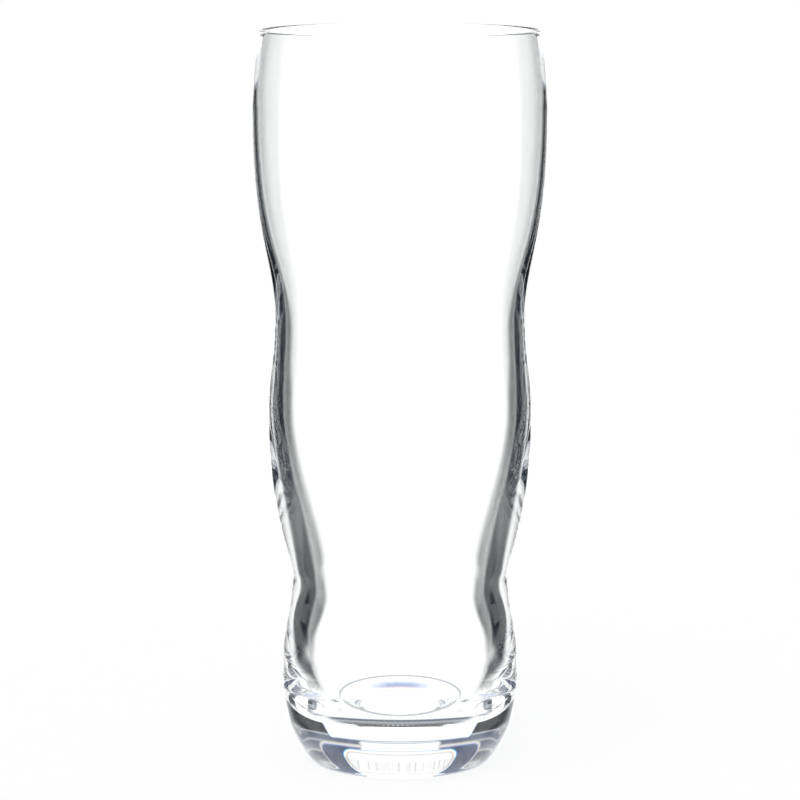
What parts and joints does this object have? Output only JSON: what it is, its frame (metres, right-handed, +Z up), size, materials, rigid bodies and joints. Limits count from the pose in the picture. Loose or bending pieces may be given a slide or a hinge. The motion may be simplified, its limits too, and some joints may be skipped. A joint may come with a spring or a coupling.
{
  "type": "beer tumbler",
  "caption": "Tall beer tumbler of clear glass with a gently waved wall, a thin rim, a bowl-shaped floor and a thick solid foot.",
  "frame": {"origin": "centre of the flat ring that the tumbler stands on, on the table", "axes": "+Z up along the tumbler's axis of turning; X and Y are any two level directions, because the glass is round"},
  "size_m": [0.0754, 0.0754, 0.19],
  "materials": {
    "clear_glass": "clear soda-lime glass, pressed and fire-polished, smooth inside and out"
  },
  "bodies": {
    "root": {"glass_body": "clear_glass"}
  },
  "joints": []
}
